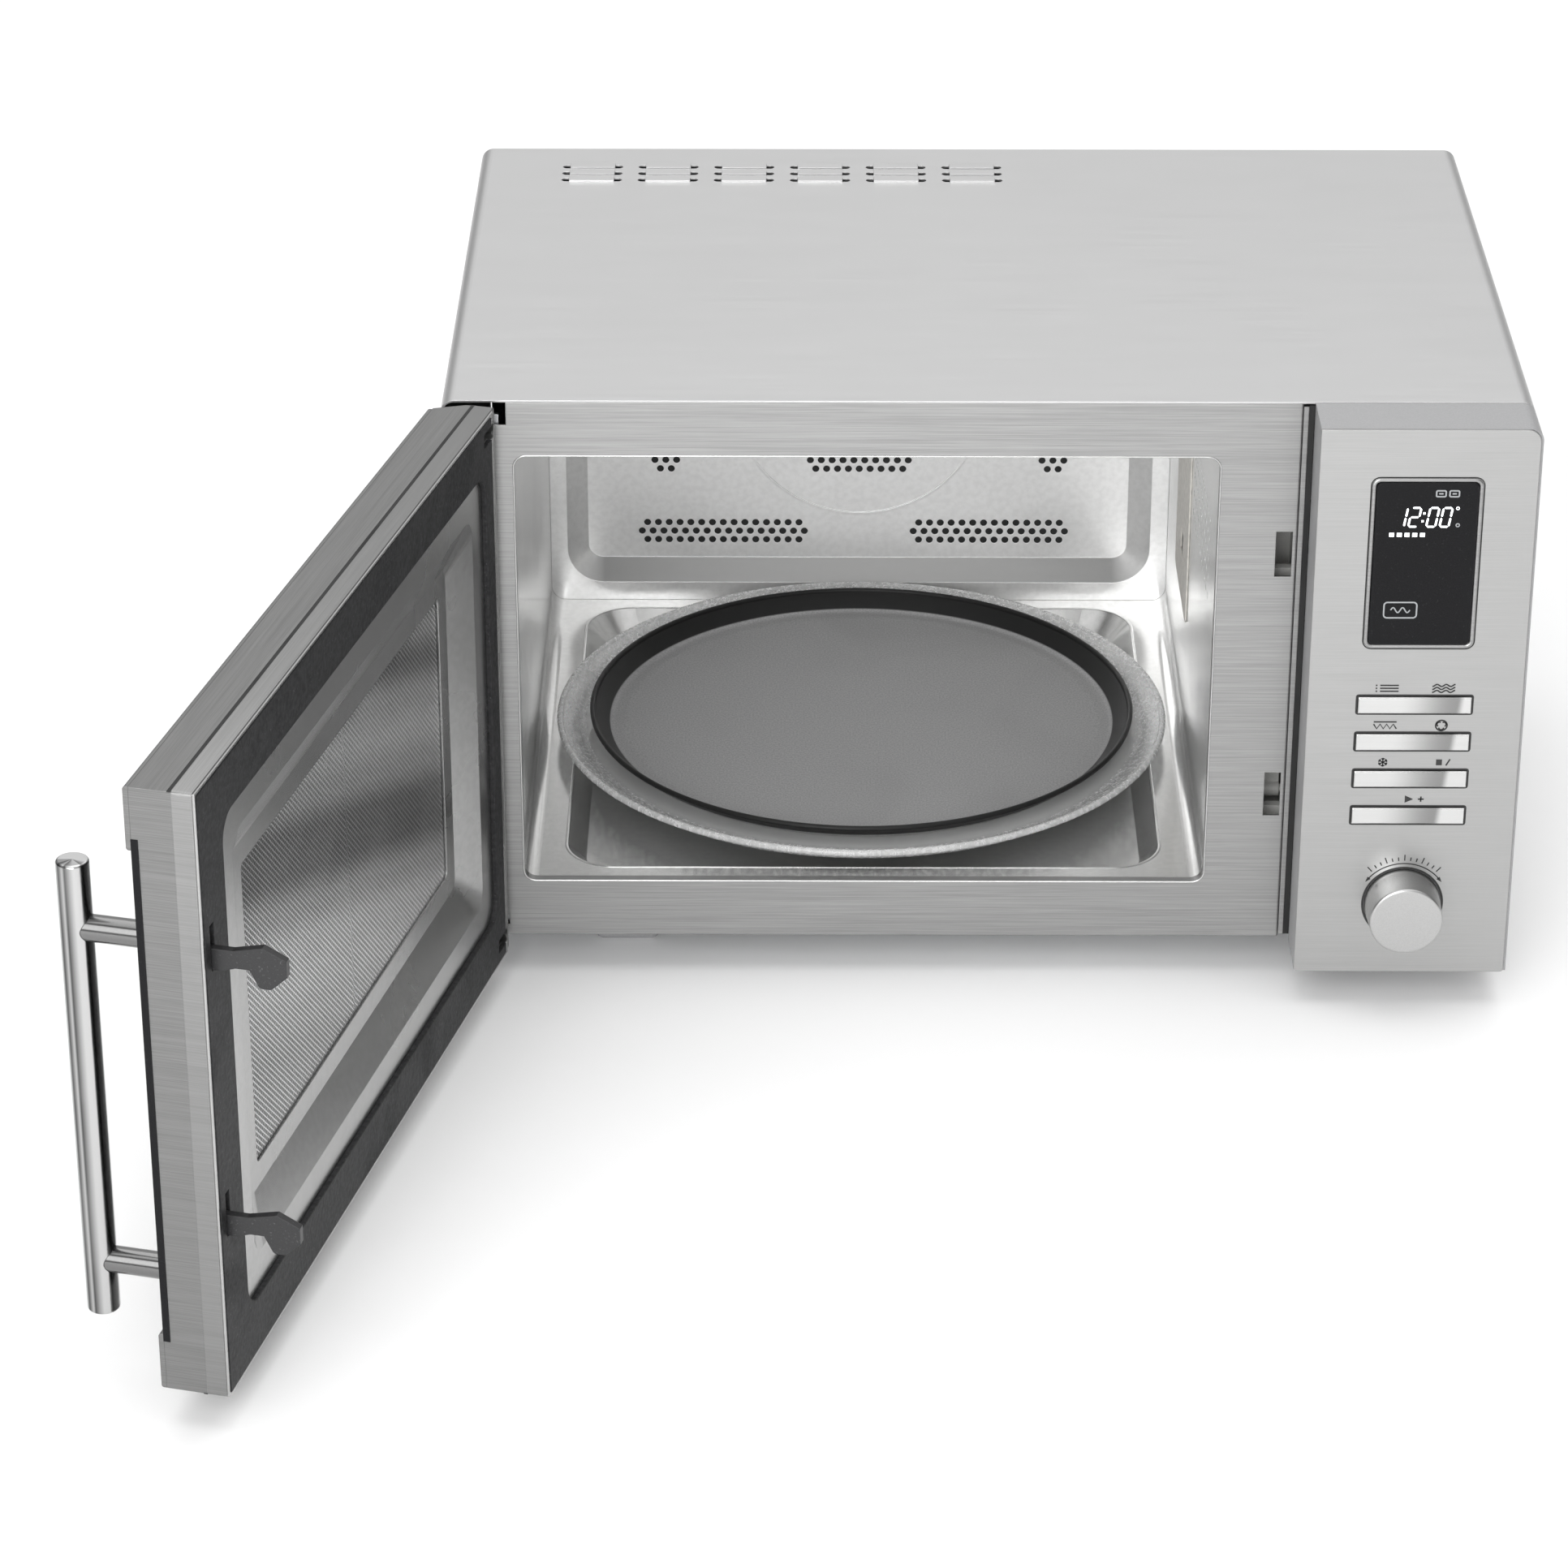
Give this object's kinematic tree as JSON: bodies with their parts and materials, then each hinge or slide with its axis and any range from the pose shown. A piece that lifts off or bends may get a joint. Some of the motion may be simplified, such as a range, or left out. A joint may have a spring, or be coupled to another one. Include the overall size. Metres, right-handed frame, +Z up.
{
  "type": "microwave oven",
  "caption": "Counter-top combination microwave oven with side-hinged door, bar handle, turntable, baking tray, dial and key panel, grill and fan heating.",
  "frame": {"origin": "on the surface the feet rest on, under the middle of the cabinet", "axes": "+X to the right facing the front, +Y to the back, +Z up; the door stands open at rest"},
  "size_m": [0.6466, 0.8012, 0.307],
  "materials": {
    "cabinet_steel": "satin light grey metallic paint on steel sheet",
    "brushed_steel": "stainless steel, horizontal brushing",
    "cavity_steel": "smooth stainless cavity lining",
    "zinc_steel": "zinc plated sheet",
    "polished_steel": "polished stainless",
    "screw_steel": "plated screws",
    "panel_plastic": "silver grey moulding",
    "black_plastic": "black moulding",
    "choke_plastic": "dark grey grained moulding",
    "door_glass": "black printed toughened glass",
    "clear_glass": "clear pressed glass",
    "display_glass": "black gloss display lens",
    "tray_coating": "dark non-stick coating",
    "mica": "mica sheet",
    "heater": "heating tube",
    "iron": "laminated iron",
    "aluminium": "pressed aluminium",
    "circuit_board": "printed circuit board",
    "white_plastic": "off-white heat-proof plastic",
    "rubber": "black rubber",
    "spring_steel": "spring wire"
  },
  "bodies": {
    "cabinet": {"outer_wrapper": "cabinet_steel", "base_plate": "zinc_steel", "feet": "rubber", "rear_panel": "zinc_steel", "rear_cover": "zinc_steel", "front_frame": "brushed_steel", "cavity_shell": "cavity_steel", "cavity_back_wall": "cavity_steel", "convection_housing": "zinc_steel", "convection_heater": "heater", "convection_motor": "aluminium", "grill_heater": "heater", "waveguide": "zinc_steel", "waveguide_cover": "mica", "magnetron": "aluminium", "transformer": "iron", "capacitor": "aluminium", "cooling_motor": "iron", "fan_shroud": "white_plastic", "oven_lamp": "white_plastic", "filter_board": "circuit_board", "control_board": "circuit_board", "display_module": "white_plastic", "display_window": "display_glass", "control_panel_body": "panel_plastic", "control_panel_skin": "brushed_steel", "encoder": "black_plastic", "latch_bracket": "white_plastic", "interlock_switches": "black_plastic", "upper_hinge_bracket": "zinc_steel", "lower_hinge_bracket": "zinc_steel", "turntable_motor": "zinc_steel", "case_screws": "screw_steel", "cord_bush": "black_plastic"},
    "door": {"door_frame": "brushed_steel", "door_glass": "door_glass", "door_bands": "brushed_steel", "door_plate": "brushed_steel", "door_mesh": "cavity_steel", "choke_cover": "choke_plastic", "handle_bar": "polished_steel", "handle_posts": "polished_steel", "latch_spring": "spring_steel"},
    "latch": {"latch_hooks": "black_plastic"},
    "drive": {"drive_coupler": "white_plastic"},
    "turntable": {"glass_turntable": "clear_glass"},
    "tray": {"baking_tray": "tray_coating"},
    "roller_carrier": {"roller_ring": "white_plastic"},
    "roller_a": {"roller_back": "white_plastic"},
    "roller_b": {"roller_left": "white_plastic"},
    "roller_c": {"roller_right": "white_plastic"},
    "dial": {"knob": "polished_steel"},
    "upper_key": {"rocker_upper": "polished_steel"},
    "middle_key": {"rocker_middle": "polished_steel"},
    "lower_key": {"rocker_lower": "polished_steel"},
    "start_key": {"start_button": "polished_steel"},
    "side_fan": {"cooling_fan": "white_plastic"},
    "rear_fan": {"convection_fan": "aluminium"},
    "safety_lever": {"interlock_lever": "white_plastic"}
  },
  "joints": [
    {"name": "door_hinge", "type": "hinge", "parent": "cabinet", "child": "door", "pos_m": [-0.246, -0.1855, 0.163], "axis": [0, 0, 1], "range_deg": [0, 104]},
    {"name": "latch_lift", "type": "slide", "parent": "door", "child": "latch", "axis": [0, 0, 1], "range_m": [0, 0.004], "stiffness_N_per_m": 300, "springref_m": -0.004, "deforming": ["latch_spring"]},
    {"name": "turntable_spin", "type": "hinge", "parent": "cabinet", "child": "drive", "pos_m": [-0.05635, -0.005, 0.045], "axis": [0, 0, 1], "continuous": true},
    {"name": "glass_lift", "type": "slide", "parent": "drive", "child": "turntable", "axis": [0, 0, 1], "range_m": [0, 0.06]},
    {"name": "tray_lift", "type": "slide", "parent": "turntable", "child": "tray", "axis": [0, 0, 1], "range_m": [0, 0.1]},
    {"name": "ring_spin", "type": "hinge", "parent": "cabinet", "child": "roller_carrier", "pos_m": [-0.05635, -0.005, 0.0465], "axis": [0, 0, 1], "continuous": true},
    {"name": "back_roller_spin", "type": "hinge", "parent": "roller_carrier", "child": "roller_a", "pos_m": [-0.05635, 0.093, 0.0465], "axis": [0, 1, 0], "continuous": true},
    {"name": "left_roller_spin", "type": "hinge", "parent": "roller_carrier", "child": "roller_b", "pos_m": [-0.14122, -0.054, 0.0465], "axis": [-0.866, -0.5, 0], "continuous": true},
    {"name": "right_roller_spin", "type": "hinge", "parent": "roller_carrier", "child": "roller_c", "pos_m": [0.02852, -0.054, 0.0465], "axis": [0.866, -0.5, 0], "continuous": true},
    {"name": "dial_spin", "type": "hinge", "parent": "cabinet", "child": "dial", "pos_m": [0.204, -0.21, 0.057], "axis": [0, 1, 0], "continuous": true},
    {"name": "upper_key_rock", "type": "hinge", "parent": "cabinet", "child": "upper_key", "pos_m": [0.204, -0.1982, 0.1641], "axis": [0, 0, 1], "range_deg": [-2, 2], "stiffness_Nm_per_rad": 0.5},
    {"name": "middle_key_rock", "type": "hinge", "parent": "cabinet", "child": "middle_key", "pos_m": [0.204, -0.1982, 0.1445], "axis": [0, 0, 1], "range_deg": [-2, 2], "stiffness_Nm_per_rad": 0.5},
    {"name": "lower_key_rock", "type": "hinge", "parent": "cabinet", "child": "lower_key", "pos_m": [0.204, -0.1982, 0.1248], "axis": [0, 0, 1], "range_deg": [-2, 2], "stiffness_Nm_per_rad": 0.5},
    {"name": "start_key_press", "type": "slide", "parent": "cabinet", "child": "start_key", "axis": [0, 1, 0], "range_m": [0, 0.001], "stiffness_N_per_m": 800, "springref_m": -0.001},
    {"name": "side_fan_spin", "type": "hinge", "parent": "cabinet", "child": "side_fan", "pos_m": [0.19, 0.136, 0.118], "axis": [0, 1, 0], "continuous": true},
    {"name": "rear_fan_spin", "type": "hinge", "parent": "cabinet", "child": "rear_fan", "pos_m": [-0.05635, 0.19, 0.1644], "axis": [0, 1, 0], "continuous": true},
    {"name": "safety_lever_tilt", "type": "hinge", "parent": "cabinet", "child": "safety_lever", "pos_m": [0.1385, -0.1365, 0.086], "axis": [-1, 0, 0], "range_deg": [0, 6], "stiffness_Nm_per_rad": 0.1, "springref_deg": -11.46}
  ],
  "couplings": [
    {"joint": "ring_spin", "follows": "turntable_spin", "ratio": 0.5},
    {"joint": "back_roller_spin", "follows": "turntable_spin", "ratio": -7.9032},
    {"joint": "left_roller_spin", "follows": "turntable_spin", "ratio": -7.9032},
    {"joint": "right_roller_spin", "follows": "turntable_spin", "ratio": -7.9032}
  ]
}
